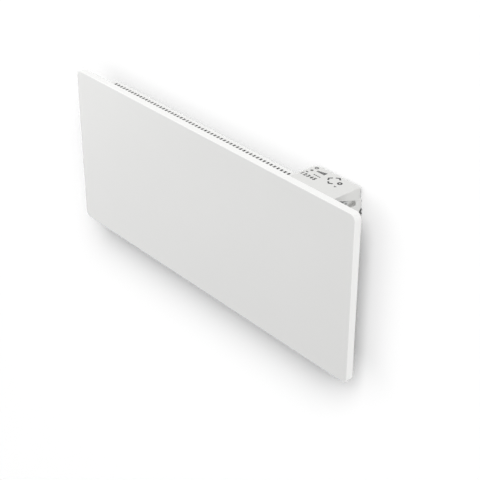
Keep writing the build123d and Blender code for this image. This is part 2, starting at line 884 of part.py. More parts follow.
def switch_frame():
    # The rocker switch's bezel and body, with holes for the rocker's pins
    half_length = switch_length / 2
    half_height = switch_height / 2
    bezel = block(
        (pocket_back_x, pocket_back_x + switch_bezel),
        (switch_y - half_length, switch_y + half_length),
        (switch_z - half_height, switch_z + half_height),
    )
    bezel = chamfer(bezel.edges().filter_by(Axis.X), switch_bezel)
    body = block(
        (pocket_back_x - switch_body_depth, pocket_back_x + switch_bezel / 2),
        (switch_y - switch_body_length / 2, switch_y + switch_body_length / 2),
        (switch_z - switch_body_height / 2, switch_z + switch_body_height / 2),
    )
    hole_length = rocker_length / 2 + rocker_gap
    hole_height = rocker_height / 2 + rocker_gap
    well = block(
        (pocket_back_x - rocker_rise - rocker_dip - overlap, pocket_back_x + 2 * switch_bezel),
        (switch_y - hole_length, switch_y + hole_length),
        (switch_z - hole_height, switch_z + hole_height),
    )
    frame = bezel + body - well
    pin_reach = rocker_height / 2 + rocker_pin_length
    pin_hole = rod_z(
        rocker_pin_radius + rocker_pin_clearance,
        (switch_z - pin_reach, switch_z + pin_reach),
        rocker_pivot_x,
        switch_y,
    )
    frame -= pin_hole
    back = pocket_back_x - switch_body_depth
    for shift in (-blade_width, blade_width):
        frame += block(
            (back - blade_length, back + overlap),
            (switch_y + shift - blade_thickness / 2, switch_y + shift + blade_thickness / 2),
            (switch_z - blade_width / 2, switch_z + blade_width / 2),
        )
    return frame


def mains_rocker():
    # A hollow-faced rocker that tips about an upright pin, drawn level and then tipped
    half = rocker_length / 2
    rise = switch_bezel / 2 + rocker_rise
    dip = switch_bezel / 2 + rocker_dip
    face = ThreePointArc((rise, -half), (dip, 0), (rise, half))
    sides = Polyline((rise, half), (-rocker_dip, half), (-rocker_dip, -half), (rise, -half))
    section = make_face([face, *sides.edges()])
    paddle = extrude(section, rocker_height / 2, both=True)
    pin_reach = rocker_height / 2 + rocker_pin_length - rocker_pin_end_gap
    paddle += peg_z(rocker_pin_radius, (-pin_reach, pin_reach), 0, 0)
    return Pos(rocker_pivot_x, switch_y, switch_z) * Rot(0, 0, rocker_tilt) * paddle


def lead(points):
    # A thin insulated lead along straight runs joined by bends
    path = FilletPolyline(*points, radius=lead_bend_radius)
    start = Plane(origin=path @ 0, z_dir=path % 0)
    return sweep(start * RegularPolygon(lead_radius, 6), path=path)


def lead_start(side):
    # Where a lead leaves the power board, above the hole in the shelf
    x, y = lead_hole_place()
    z = control_bottom + control_wall + power_board_rise + board_thickness + lead_tail
    return x + side * lead_spacing / 2, y, z


def live_lead():
    # From the power board down to the element's right-hand pin
    x, y, z = lead_start(1)
    end_x = element_right + core_overhang + core_pin_length / 2
    end_z = element_z + core_pin_width / 2
    upper = (x, y, control_bottom - lead_drop)
    lower = (end_x, element_y, element_z + lead_rise / 2)
    return lead([(x, y, z), upper, lower, (end_x, element_y, end_z)])


def neutral_lead():
    # From the power board along the back wall to the element's left-hand pin
    x, y, z = lead_start(-1)
    end_x = element_left - core_overhang - core_pin_length / 2
    end_z = element_z + core_pin_width / 2
    run_z = element_z + lead_rise
    return lead([(x, y, z), (x, y, run_z), (element_left, y, run_z), (end_x, element_y, end_z)])


def bracket_rail(x):
    # An upright channel, open towards the heater
    half = rail_width / 2
    points = [(x - half, -rail_depth), (x - half, 0), (x + half, 0), (x + half, -rail_depth)]
    return folded_sheet(points, None, rail_sheet, "XY", rail_bottom, rail_top - rail_bottom)


def bracket_hook(x):
    # A shelf with an upturned lip at the foot of a rail
    half = hook_width / 2
    lip_y = casing_inner_y - hook_lip_gap
    low = hook_z - hook_thickness
    front = lip_y - hook_thickness
    points = [(front, hook_z + hook_lip), (front, low), (-rail_sheet / 2, low)]
    return folded_sheet(points[::-1], hook_bend_radius, hook_thickness, "YZ", x - half, hook_width)


def lock_arm(x):
    # A bent arm near the top of a rail that carries the turn-lock
    half = lock_arm_width / 2
    low = lock_z - lock_arm_below_pivot
    high = lock_z + lock_arm_above_pivot
    points = [(-rail_sheet / 2, low), (lock_arm_y, low), (lock_arm_y, high)]
    return folded_sheet(points, None, rail_sheet, "YZ", x - half, lock_arm_width)


def wall_bracket():
    # Two rails and a cross rail, with hooks below and turn-lock arms above
    places = (-rail_spacing / 2, rail_spacing / 2)
    half = cross_rail_height / 2
    back = -rail_sheet
    front = back - cross_rail_depth
    points = [(front, half), (back, half), (back, -half), (front, -half)]
    bracket = folded_sheet(points, None, rail_sheet, "YZ", places[0], rail_spacing)
    for x in places:
        bracket += bracket_rail(x)
        bracket += bracket_hook(x)
        bracket += lock_arm(x)
        bracket -= Pos(x, lock_arm_y, lock_z) * Box(rivet_neck_width, 4 * rail_sheet, rivet_neck_width)
        for z in (rail_bottom + hole_end_margin, rail_top - hole_end_margin):
            bracket -= rod_y(hole_radius, (-2 * rail_sheet, rail_sheet), x, z)
    return bracket


def turn_lock(side):
    # A flat lever: a tongue that points outwards when locked, and a thumb tab on top
    hub = Circle(lock_hub_radius)
    tongue = Pos(lock_tongue_length / 2, 0) * Rectangle(lock_tongue_length, lock_tongue_width)
    tongue = chamfer(tongue.vertices().group_by(Axis.X)[-1], lock_tongue_width / 4)
    thumb = Pos(0, lock_thumb_length / 2) * Rectangle(lock_thumb_width, lock_thumb_length)
    outline = hub + tongue + thumb - Circle(rivet_radius + rivet_clearance)
    plate = extrude(Plane.XZ * outline, lock_thickness, dir=(0, 1, 0))
    grip = block(
        (-lock_thumb_width / 2, lock_thumb_width / 2),
        (0, lock_thickness + lock_thumb_grip),
        (lock_thumb_length - lock_thickness, lock_thumb_length),
    )
    lever = plate + grip
    if side < 0:
        lever = mirror(lever, about=Plane.YZ)
    return Pos(side * rail_spacing / 2, lock_front_y, lock_z) * lever


def lock_rivet(side):
    # A rivet with a round shank for the turn-lock and a square neck in the arm
    x = side * rail_spacing / 2
    head_y = lock_front_y - rivet_clearance
    tail_y = lock_arm_y + rail_sheet
    rivet = rod_y(rivet_radius, (head_y, lock_arm_y), x, lock_z)
    neck = Box(rivet_neck_width, rail_sheet, rivet_neck_width)
    rivet += Pos(x, lock_arm_y + rail_sheet / 2, lock_z) * neck
    rivet += peg_y(rivet_head_radius, (head_y - rivet_head_height, head_y), x, lock_z)
    rivet += peg_y(rivet_head_radius, (tail_y, tail_y + rivet_head_height), x, lock_z)
    return rivet


def catch(side):
    # A Z-shaped catch welded to the casing; the turn-lock's tongue drops behind its lip
    step_z = lock_z - catch_below_lock
    far_y = casing_back_y + catch_reach
    points = [
        (casing_back_y + catch_sheet, step_z - catch_foot),
        (casing_back_y + catch_sheet, step_z),
        (far_y, step_z),
        (far_y, step_z + catch_lip),
    ]
    middle = side * (rail_spacing / 2 + catch_offset)
    start = middle - catch_width / 2
    return folded_sheet(points[::-1], None, catch_sheet, "YZ", start, catch_width)


def wall_spacer(side):
    # A tapered foot, hollow towards the casing, that keeps the lower corner off the wall
    x = side * (casing_right - spacer_inset)
    z = casing_bottom + spacer_rise
    outline = RegularPolygon(spacer_base_radius, 8)
    foot = extrude(outline, casing_wall_gap, taper=spacer_draft)
    room = extrude(offset(outline, amount=-spacer_wall), casing_wall_gap - spacer_wall, taper=spacer_draft)
    return Pos(x, casing_back_y, z) * Rot(-90, 0, 0) * (foot - room)


save("front_panel", front_panel())
save("panel_nuts", panel_nuts())
save("left_stiffener", stiffener(-stiffener_spacing / 2))
save("right_stiffener", stiffener(stiffener_spacing / 2))
save("heat_shield", heat_shield())
save("rear_casing", rear_casing())
save("left_end_plate", end_plate(-1, casing_top - casing_sheet))
save("right_end_plate", end_plate(1, control_bottom - casing_sheet))
save("bay_divider", bay_divider())
save("heating_element", heating_element())
save("element_core", element_core())
save("left_insulator", insulator(-1))
save("right_insulator", insulator(1))
save("left_element_bracket", element_bracket(-1))
save("right_element_bracket", element_bracket(1))
save("overheat_cutout", overheat_cutout())
save("fuse_clip", fuse_clip())
save("thermal_fuse", thermal_fuse())
save("sensor_clip", sensor_clip())
save("room_sensor", room_sensor())
save("control_housing", control_housing())
save("control_cap", control_cap())
save("touch_board", touch_board())
save("power_board", power_board())
save("relay", relay())
save("terminal_block", terminal_block())
save("capacitor", capacitor())
save("shelf_screws", shelf_screws())
save("switch_frame", switch_frame())
save("mains_rocker", mains_rocker())
save("supply_grommet", supply_grommet())
save("live_lead", live_lead())
save("neutral_lead", neutral_lead())
save("wall_bracket", wall_bracket())
save("left_turn_lock", turn_lock(-1))
save("right_turn_lock", turn_lock(1))
save("left_lock_rivet", lock_rivet(-1))
save("right_lock_rivet", lock_rivet(1))
save("left_catch", catch(-1))
save("right_catch", catch(1))
save("left_wall_spacer", wall_spacer(-1))
save("right_wall_spacer", wall_spacer(1))
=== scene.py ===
import bpy
import bmesh
import json
import math
from mathutils import Matrix, Vector
from mathutils.bvhtree import BVHTree


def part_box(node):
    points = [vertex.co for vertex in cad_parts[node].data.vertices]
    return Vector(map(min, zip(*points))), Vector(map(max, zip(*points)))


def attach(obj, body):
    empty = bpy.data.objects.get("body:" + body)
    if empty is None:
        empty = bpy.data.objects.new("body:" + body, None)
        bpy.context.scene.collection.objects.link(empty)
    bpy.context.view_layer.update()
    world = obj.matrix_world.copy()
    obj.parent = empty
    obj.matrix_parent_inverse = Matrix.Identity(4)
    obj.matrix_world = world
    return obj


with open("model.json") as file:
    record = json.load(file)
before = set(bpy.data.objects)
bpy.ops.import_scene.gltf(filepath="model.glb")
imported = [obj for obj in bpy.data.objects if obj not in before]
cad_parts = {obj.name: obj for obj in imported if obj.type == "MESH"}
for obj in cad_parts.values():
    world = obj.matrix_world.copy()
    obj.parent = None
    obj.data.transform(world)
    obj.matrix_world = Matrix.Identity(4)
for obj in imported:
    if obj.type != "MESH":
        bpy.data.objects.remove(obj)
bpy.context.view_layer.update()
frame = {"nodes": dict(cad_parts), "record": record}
print("frame loaded")


# Helpers for node trees
def feed(tree, value, socket):
    # A node's output is linked to the socket; a number, vector or colour is set on it
    if isinstance(value, bpy.types.NodeSocket):
        tree.links.new(value, socket)
    elif socket.type == "RGBA":
        socket.default_value = (*value, 1)
    else:
        socket.default_value = value


def newNode(tree, kind, inputs=None, **settings):
    # A node with its settings, and with a value or a link on each input that is named
    node = tree.nodes.new(kind)
    for label, setting in settings.items():
        setattr(node, label, setting)
    for label, value in (inputs or {}).items():
        feed(tree, value, node.inputs[label])
    return node


def mathNode(tree, operation, first, second, clamp=False):
    inputs = {0: first, 1: second}
    node = newNode(tree, "ShaderNodeMath", inputs, operation=operation, use_clamp=clamp)
    return node.outputs[0]


def noiseNode(tree, vector, scale, detail=2.0, roughness=0.5):
    inputs = {"Vector": vector, "Scale": scale, "Detail": detail, "Roughness": roughness}
    return newNode(tree, "ShaderNodeTexNoise", inputs).outputs[0]


def rangeNode(tree, value, source, target=(0.0, 1.0)):
    inputs = {"Value": value, "From Min": source[0], "From Max": source[1],
              "To Min": target[0], "To Max": target[1]}
    return newNode(tree, "ShaderNodeMapRange", inputs).outputs[0]


def shaderMix(tree, share, first, second):
    inputs = {0: share, 1: first.outputs[0], 2: second.outputs[0]}
    return newNode(tree, "ShaderNodeMixShader", inputs).outputs[0]


# The camera stands in front, to the right and above, and looks down along the heater
cameraSpot = {
    "position": (1.7421, -1.4815, 1.2660),
    "aim": (0.1220, -0.0900, -0.0037),
    "lens": 93.2,
    "sensor": 36.0,
}


def aimAt(thing, place, aim):
    thing.location = place
    thing.rotation_mode = "QUATERNION"
    thing.rotation_quaternion = (Vector(aim) - Vector(place)).to_track_quat("-Z", "Y")
    bpy.context.scene.collection.objects.link(thing)


def placeCamera():
    cameraData = bpy.data.cameras.new("studioCamera")
    cameraData.lens = cameraSpot["lens"]
    cameraData.sensor_width = cameraSpot["sensor"]
    camera = bpy.data.objects.new("studioCamera", cameraData)
    aimAt(camera, cameraSpot["position"], cameraSpot["aim"])
    bpy.context.scene.camera = camera


placeCamera()
print("camera placed")


# A soft key stands at the upper left, a top light behind the wall's plane and two fills
# at the right, one high and one low; all of them aim at the heater's middle
lampValues = {
    "world": 0.45,
    "aim": (0.0, -0.05, 0.0),
    "lamps": {
        "key": {"place": (-1.60, -1.75, 1.20), "size": 1.2, "power": 32.5},
        "topLight": {"place": (0.10, 0.95, 2.50), "size": 1.6, "power": 27.0},
        "highFill": {"place": (2.80, -0.74, 1.80), "size": 1.2, "power": 29.0},
        "lowFill": {"place": (2.80, -0.74, -0.80), "size": 1.2, "power": 22.0},
    },
}
plainWhite = (1.0, 1.0, 1.0)


def addLamp(name, values):
    lampData = bpy.data.lights.new(name, "AREA")
    lampData.shape = "SQUARE"
    lampData.size = values["size"]
    lampData.energy = values["power"]
    aimAt(bpy.data.objects.new(name, lampData), values["place"], lampValues["aim"])


def wrapWorld():
    # An even, dim world for the light on the object, seen as plain white by the camera,
    # in reflections and through glass
    world = bpy.data.worlds.new("studioWorld")
    bpy.context.scene.world = world
    world.use_nodes = True
    tree = world.node_tree
    tree.nodes.clear()
    inputs = {"Color": plainWhite, "Strength": lampValues["world"]}
    even = newNode(tree, "ShaderNodeBackground", inputs)
    white = newNode(tree, "ShaderNodeBackground", {"Color": plainWhite})
    ray = newNode(tree, "ShaderNodeLightPath").outputs
    seen = mathNode(tree, "MAXIMUM", ray["Is Camera Ray"], ray["Is Glossy Ray"])
    seen = mathNode(tree, "MAXIMUM", seen, ray["Is Transmission Ray"])
    newNode(tree, "ShaderNodeOutputWorld", {"Surface": shaderMix(tree, seen, even, white)})


def lightStudio():
    wrapWorld()
    for name, values in lampValues["lamps"].items():
        addLamp(name, values)
    bpy.context.scene.view_settings.view_transform = "Standard"


lightStudio()
print("lamps on")


# A wall behind and a floor below; the camera sees each only from its front. Two soft
# suns shine on these sheets alone: they make them white and cast the heater's shadow.
# A sun's light comes from the direction given
backdropValues = {
    "halfWidth": 5.0,
    "floorHeight": -2.6,
    "wallTop": 3.0,
    "wallPlace": 0.002,
    "floorDepth": 5.0,
    "shade": (0.06, 0.06, 0.06),
    "lift": 0.04,
    "suns": {
        "sideSun": {"from": (0.520, -0.505, 0.690), "spread": 31.0, "strength": 67.2},
        "frontSun": {"from": (0.180, -0.830, 0.520), "spread": 72.0, "strength": 17.0},
    },
}


def backdropPaper():
    # Dark paper with a little light of its own, clear to every ray but the camera's
    material = bpy.data.materials.new("palePaper")
    material.use_nodes = True
    tree = material.node_tree
    tree.nodes.clear()
    paper = newNode(tree, "ShaderNodeBsdfDiffuse", {"Color": backdropValues["shade"]})
    lift = newNode(tree, "ShaderNodeEmission", {"Strength": backdropValues["lift"]})
    lifted = newNode(tree, "ShaderNodeAddShader", {0: paper.outputs[0], 1: lift.outputs[0]})
    clear = newNode(tree, "ShaderNodeBsdfTransparent")
    ray = newNode(tree, "ShaderNodeLightPath").outputs
    side = newNode(tree, "ShaderNodeNewGeometry").outputs
    facing = mathNode(tree, "SUBTRACT", ray["Is Camera Ray"], side["Backfacing"], True)
    newNode(tree, "ShaderNodeOutputMaterial", {"Surface": shaderMix(tree, facing, clear, lifted)})
    return material


def addSheet(name, corners, material, lit):
    mesh = bpy.data.meshes.new(name)
    mesh.from_pydata(corners, [], [(0, 1, 2, 3)])
    mesh.materials.append(material)
    sheet = bpy.data.objects.new(name, mesh)
    bpy.context.scene.collection.objects.link(sheet)
    lit.objects.link(sheet)


def addBackdropSun(name, values, lit):
    sunData = bpy.data.lights.new(name, "SUN")
    sunData.angle = math.radians(values["spread"])
    sunData.energy = values["strength"]
    sun = bpy.data.objects.new(name, sunData)
    aimAt(sun, values["from"], (0.0, 0.0, 0.0))
    sun.light_linking.receiver_collection = lit


def addBackdrop():
    values = backdropValues
    half, low, high = values["halfWidth"], values["floorHeight"], values["wallTop"]
    back, front = values["wallPlace"], -values["floorDepth"]
    foot = [(-half, back, low), (half, back, low)]
    head = [(half, back, high), (-half, back, high)]
    edge = [(-half, front, low), (half, front, low)]
    paper = backdropPaper()
    lit = bpy.data.collections.new("backdropSheets")
    addSheet("wallSheet", foot + head, paper, lit)
    addSheet("floorSheet", edge + foot[::-1], paper, lit)
    for name, sun in values["suns"].items():
        addBackdropSun(name, sun, lit)


addBackdrop()
print("backdrop up")


# Shader node groups that several finishes share
def newGroup(name, inputs, outputs):
    # Each group has a vector input, and inputs that start at the values given
    group = bpy.data.node_groups.new(name, "ShaderNodeTree")
    group.interface.new_socket(name="Vector", in_out="INPUT", socket_type="NodeSocketVector")
    for label, value in inputs.items():
        kind = "NodeSocketColor" if isinstance(value, tuple) else "NodeSocketFloat"
        socket = group.interface.new_socket(name=label, in_out="INPUT", socket_type=kind)
        socket.default_value = value
    for label in outputs:
        kind = "NodeSocketColor" if label == "Colour" else "NodeSocketFloat"
        group.interface.new_socket(name=label, in_out="OUTPUT", socket_type=kind)
    given = newNode(group, "NodeGroupInput").outputs
    result = newNode(group, "NodeGroupOutput").inputs
    return group, given, result


def brokenUp(group, mask, given, values):
    # A mask made uneven by noise and scaled by the group's amount
    patch = noiseNode(group, given["Vector"], *values["patch"])
    uneven = rangeNode(group, patch, values["patchSpan"], values["patchShare"])
    lying = mathNode(group, "MULTIPLY", mask, uneven)
    return mathNode(group, "MULTIPLY", lying, given["Amount"], True)


# Slow, faint changes of tone over a surface
driftValues = {"detail": 3.0, "span": (0.25, 0.75)}


def buildToneDrift():
    starts = {"Colour": (0.8, 0.8, 0.8, 1), "Amount": 0.02, "Scale": 6.0}
    group, given, result = newGroup("toneDrift", starts, ("Colour", "Mask"))
    mask = noiseNode(group, given["Vector"], given["Scale"], driftValues["detail"])
    darkest = mathNode(group, "SUBTRACT", 1.0, given["Amount"])
    lightest = mathNode(group, "ADD", 1.0, given["Amount"])
    gain = rangeNode(group, mask, driftValues["span"], (darkest, lightest))
    inputs = {0: given["Colour"], "Scale": gain}
    scaled = newNode(group, "ShaderNodeVectorMath", inputs, operation="SCALE")
    feed(group, scaled.outputs[0], result["Colour"])
    feed(group, mask, result["Mask"])
    return group


# A height made of two sizes of grain
grainValues = {"fineDetail": 2.0, "coarseDetail": 1.0, "coarseScale": 0.28}


def buildFineGrain():
    starts = {"Scale": 700.0, "Coarse Share": 0.4}
    group, given, result = newGroup("fineGrain", starts, ("Height",))
    vector, scale, share = (given[label] for label in ("Vector", "Scale", "Coarse Share"))
    fine = noiseNode(group, vector, scale, grainValues["fineDetail"])
    wider = mathNode(group, "MULTIPLY", scale, grainValues["coarseScale"])
    coarse = noiseNode(group, vector, wider, grainValues["coarseDetail"])
    finePart = mathNode(group, "MULTIPLY", fine, mathNode(group, "SUBTRACT", 1.0, share))
    coarsePart = mathNode(group, "MULTIPLY", coarse, share)
    feed(group, mathNode(group, "ADD", finePart, coarsePart), result["Height"])
    return group


# A mask that is strong on outer edges. Here and below, a patch is a noise's scale and
# detail, with its roughness third where it is given. Its span is the part of the noise
# that counts, and its share is how strong the patches are at the two ends of the span
edgeValues = {"samples": 4, "bend": (0.98, 0.72), "patch": (90.0, 4.0, 0.7),
              "patchSpan": (0.42, 0.62), "patchShare": (0.0, 1.0)}


def buildEdgeWear():
    group, given, result = newGroup("edgeWear", {"Radius": 0.0008, "Amount": 1.0}, ("Mask",))
    inputs = {"Radius": given["Radius"]}
    rounded = newNode(group, "ShaderNodeBevel", inputs, samples=edgeValues["samples"])
    sharp = newNode(group, "ShaderNodeNewGeometry")
    inputs = {0: rounded.outputs["Normal"], 1: sharp.outputs["True Normal"]}
    bend = newNode(group, "ShaderNodeVectorMath", inputs, operation="DOT_PRODUCT")
    edge = rangeNode(group, bend.outputs["Value"], edgeValues["bend"])
    feed(group, brokenUp(group, edge, given, edgeValues), result["Mask"])
    return group


# A mask for dust that lies on what faces up
dustValues = {"upwards": (0.4, 1.0), "patch": (260.0, 5.0, 0.75),
              "patchSpan": (0.35, 0.7), "patchShare": (0.0, 1.0)}


def buildSettledDust():
    group, given, result = newGroup("settledDust", {"Amount": 0.2}, ("Mask",))
    facing = newNode(group, "ShaderNodeNewGeometry").outputs["Normal"]
    slope = newNode(group, "ShaderNodeSeparateXYZ", {0: facing}).outputs["Z"]
    upwards = rangeNode(group, slope, dustValues["upwards"])
    feed(group, brokenUp(group, upwards, given, dustValues), result["Mask"])
    return group


# A mask for painted shade: colour darkened in hollows and inner corners, where less light reaches
hollowShadeValues = {"samples": 8, "hollow": (0.82, 0.58), "patch": (150.0, 3.0, 0.6),
               "patchSpan": (0.3, 0.7), "patchShare": (0.85, 1.0)}


def buildHollowShade():
    group, given, result = newGroup("paintedHollowShade", {"Reach": 0.03, "Amount": 0.5}, ("Mask",))
    settings = {"samples": hollowShadeValues["samples"], "only_local": True}
    inputs = {"Distance": given["Reach"]}
    # Ambient occlusion that only darkens the colour: painted shade in hollows, not dirt
    openness = newNode(group, "ShaderNodeAmbientOcclusion", inputs, **settings).outputs["AO"]
    hollow = rangeNode(group, openness, hollowShadeValues["hollow"])
    feed(group, brokenUp(group, hollow, given, hollowShadeValues), result["Mask"])
    return group


sharedGroups = {
    "toneDrift": buildToneDrift(),
    "fineGrain": buildFineGrain(),
    "edgeWear": buildEdgeWear(),
    "settledDust": buildSettledDust(),
    "paintedHollowShade": buildHollowShade(),
}
print("shared node groups built")


# In each finish's values: drift is an amount and a scale, wear a radius and an amount,
# grain a scale and a coarse share, bump a strength and a distance, roughness two ends
noiseSpan = (0.3, 0.7)  # where most of a noise lies


class finishBuilder:
    # Keeps one material's node tree and values at hand while it is put together
    def __init__(self, name, values):
        self.values = values
        self.material = bpy.data.materials.new(name)
        self.material.use_nodes = True
        self.tree = self.material.node_tree
        self.shader = self.tree.nodes["Principled BSDF"]
        self.vector = self.node("ShaderNodeTexCoord").outputs["Object"]

    def node(self, kind, inputs=None, **settings):
        return newNode(self.tree, kind, inputs, **settings)

    def group(self, name, inputs):
        inputs = {"Vector": self.vector, **inputs}
        return self.node("ShaderNodeGroup", inputs, node_tree=sharedGroups[name]).outputs

    def mixColours(self, mask, first, second):
        # Inputs 6 and 7 and output 2 are the node's colours
        inputs = {0: mask, 6: first, 7: second}
        return self.node("ShaderNodeMix", inputs, data_type="RGBA").outputs[2]

    def drift(self, colour):
        amount, scale = self.values["drift"]
        return self.group("toneDrift", {"Colour": colour, "Amount": amount, "Scale": scale})

    def worn(self, colour):
        radius, amount = self.values["wear"]
        mask = self.group("edgeWear", {"Radius": radius, "Amount": amount})["Mask"]
        return self.mixColours(mask, colour, self.values["edge"])

    def dusty(self, colour):
        mask = self.group("settledDust", {"Amount": self.values["dustAmount"]})["Mask"]
        return self.mixColours(mask, colour, self.values["dust"])

    # Mixes a darker colour into hollows and inner corners: painted shade
    def shadedInHollows(self, colour):
        reach, amount = self.values["hollowShadeReach"], self.values["hollowShadeAmount"]
        mask = self.group("paintedHollowShade", {"Reach": reach, "Amount": amount})["Mask"]
        return self.mixColours(mask, colour, self.values["hollowShade"])

    def patched(self, colour, noise):
        values = self.values
        mask = rangeNode(self.tree, noise, values["patchSpan"], values["patchShare"])
        return self.mixColours(mask, colour, values["patchColour"])

    def colour(self, source):
        feed(self.tree, source, self.shader.inputs["Base Color"])

    def roughness(self, source, span=noiseSpan):
        value = rangeNode(self.tree, source, span, self.values["roughness"])
        feed(self.tree, value, self.shader.inputs["Roughness"])

    def metallic(self):
        feed(self.tree, self.values["metallic"], self.shader.inputs["Metallic"])

    def bump(self, height):
        strength, distance = self.values["bump"]
        inputs = {"Strength": strength, "Distance": distance, "Height": height}
        normal = self.node("ShaderNodeBump", inputs).outputs["Normal"]
        feed(self.tree, normal, self.shader.inputs["Normal"])

    def grainBump(self):
        scale, coarse = self.values["grain"]
        self.bump(self.group("fineGrain", {"Scale": scale, "Coarse Share": coarse})["Height"])


# One colour with rubbed edges, and with dust and painted shade in hollows where the values name
# them
def evenFinish(name, values):
    finish = finishBuilder(name, values)
    drift = finish.drift(values["colour"])
    colour = finish.worn(drift["Colour"])
    if "dust" in values:
        colour = finish.dusty(colour)
    # Painted shade: a darker colour in hollows and inner corners, where the values give it
    if "hollowShade" in values:
        colour = finish.shadedInHollows(colour)
    finish.colour(colour)
    finish.roughness(drift["Mask"])
    finish.grainBump()
    return finish.material


# Powder-coated steel of the front panel and casing
enamelValues = {
    "colour": (0.845, 0.845, 0.835),
    "drift": (0.012, 5.0),
    "edge": (0.93, 0.93, 0.92),
    "wear": (0.0009, 0.12),
    "dust": (0.70, 0.69, 0.66),
    "dustAmount": 0.10,
    "roughness": (0.36, 0.48),
    "grain": (520.0, 0.55),
    "bump": (0.16, 0.00025),
}

# White moulded plastic of the control box, spacers and sensor clip
mouldedValues = {
    "colour": (0.682, 0.682, 0.669),
    "drift": (0.015, 14.0),
    "edge": (0.73, 0.73, 0.72),
    "wear": (0.0006, 0.3),
    "dust": (0.60, 0.59, 0.565),
    "dustAmount": 0.10,
    # Painted shade: the darker colour, reach and amount laid into the box's hollows and inner
    # corners
    "hollowShade": (0.46, 0.46, 0.44),
    "hollowShadeReach": 0.03,
    "hollowShadeAmount": 0.20,
    "roughness": (0.46, 0.58),
    "grain": (1500.0, 0.2),
    "bump": (0.22, 0.00012),
}

# Grey and black moulded plastics of the switch, relay, terminal block and other small parts
smallPartValues = {
    "drift": (0.06, 40.0),
    "wear": (0.0004, 0.9),
    "dust": (0.45, 0.44, 0.42),
    "dustAmount": 0.08,
    "grain": (2400.0, 0.2),
    "bump": (0.25, 0.00008),
}
greyValues = {
    **smallPartValues,
    "colour": (0.52, 0.53, 0.53),
    "edge": (0.60, 0.60, 0.60),
    "roughness": (0.4, 0.55),
}
blackValues = {
    **smallPartValues,
    "colour": (0.022, 0.022, 0.023),
    "edge": (0.075, 0.075, 0.078),
    "roughness": (0.34, 0.5),
}

# Rubber of the cord grommet, paler at its edges
rubberValues = {
    "colour": (0.050, 0.050, 0.051),
    "drift": (0.1, 80.0),
    "edge": (0.13, 0.13, 0.13),
    "wear": (0.0005, 0.7),
    "roughness": (0.62, 0.85),
    "grain": (1800.0, 0.4),
    "bump": (0.4, 0.0001),
}


# Zinc-coated steel of the bracket, shield and brackets: crystals of different brightness
zincValues = {
    "bright": (0.70, 0.72, 0.74),
    "dull": (0.55, 0.57, 0.59),
    "crystals": 170.0,
    "drift": (0.08, 20.0),
    "edge": (0.82, 0.83, 0.84),
    "wear": (0.0005, 0.8),
    "roughness": (0.34, 0.50),
    "grain": (900.0, 0.5),
    "bump": (0.12, 0.0001),
    "metallic": 1.0,
}


def galvanisedSteel():
    finish = finishBuilder("galvanisedSteel", zincValues)
    inputs = {"Vector": finish.vector, "Scale": zincValues["crystals"]}
    crystals = finish.node("ShaderNodeTexVoronoi", inputs).outputs["Color"]
    tone = finish.node("ShaderNodeSeparateColor", {0: crystals}).outputs
    spangle = finish.mixColours(tone["Red"], zincValues["dull"], zincValues["bright"])
    finish.colour(finish.worn(finish.drift(spangle)["Colour"]))
    finish.roughness(tone["Green"], (0.0, 1.0))
    finish.grainBump()
    finish.metallic()
    return finish.material


# Mill-finish aluminium of the element: die lines run along the extrusion
aluminiumValues = {
    "colour": (0.78, 0.79, 0.80),
    "drift": (0.06, 12.0),
    "dieLines": (3.0, 1400.0, 1400.0),
    "patch": (1.0, 3.0),
    "patchSpan": noiseSpan,
    "patchShare": (0.0, 0.35),
    "patchColour": (0.56, 0.57, 0.59),
    "roughness": (0.24, 0.46),
    "bump": (0.25, 0.00012),
    "metallic": 1.0,
}


def extrudedAluminium():
    finish = finishBuilder("extrudedAluminium", aluminiumValues)
    inputs = {"Vector": finish.vector, "Scale": aluminiumValues["dieLines"]}
    along = finish.node("ShaderNodeMapping", inputs).outputs[0]
    lines = noiseNode(finish.tree, along, *aluminiumValues["patch"])
    finish.colour(finish.patched(finish.drift(aluminiumValues["colour"])["Colour"], lines))
    finish.roughness(lines)
    finish.bump(lines)
    finish.metallic()
    return finish.material


# Heat-tinted steel of the element's sheath
sheathValues = {
    "colour": (0.42, 0.41, 0.40),
    "drift": (0.1, 25.0),
    "patch": (45.0, 4.0),
    "patchSpan": (0.35, 0.65),
    "patchShare": (0.0, 0.9),
    "patchColour": (0.30, 0.22, 0.14),
    "roughness": (0.38, 0.6),
    "grain": (1200.0, 0.4),
    "bump": (0.2, 0.0001),
    "metallic": 0.9,
}


def tintedSheath():
    finish = finishBuilder("heatTintedSheath", sheathValues)
    tint = noiseNode(finish.tree, finish.vector, *sheathValues["patch"])
    finish.colour(finish.patched(finish.drift(sheathValues["colour"])["Colour"], tint))
    finish.roughness(tint)
    finish.grainBump()
    finish.metallic()
    return finish.material


# Unglazed ceramic of the bushes and the fuse sleeve
ceramicValues = {
    "colour": (0.84, 0.82, 0.76),
    "drift": (0.03, 60.0),
    "patch": (1600.0, 2.0),
    "patchSpan": (0.66, 0.74),
    "patchShare": (0.0, 0.6),
    "patchColour": (0.62, 0.58, 0.50),
    "roughness": (0.62, 0.78),
    "grain": (2200.0, 0.3),
    "bump": (0.35, 0.00012),
}


def bareCeramic():
    finish = finishBuilder("bareCeramic", ceramicValues)
    drift = finish.drift(ceramicValues["colour"])
    specks = noiseNode(finish.tree, finish.vector, *ceramicValues["patch"])
    finish.colour(finish.patched(drift["Colour"], specks))
    finish.roughness(drift["Mask"])
    finish.grainBump()
    return finish.material


# Circuit boards: green mask over copper tracks, with tinned pads
boardValues = {
    "maskColour": (0.020, 0.115, 0.045),
    "trackColour": (0.045, 0.205, 0.085),
    "padColour": (0.62, 0.60, 0.54),
    "drift": (0.07, 30.0),
    "tracks": 210.0,
    "trackGap": 0.07,
    "trackBlur": 0.1,
    "pads": 190.0,
    "padSpan": (0.16, 0.13),
    "roughness": (0.22, 0.38),
    "bump": (0.3, 0.00006),
}


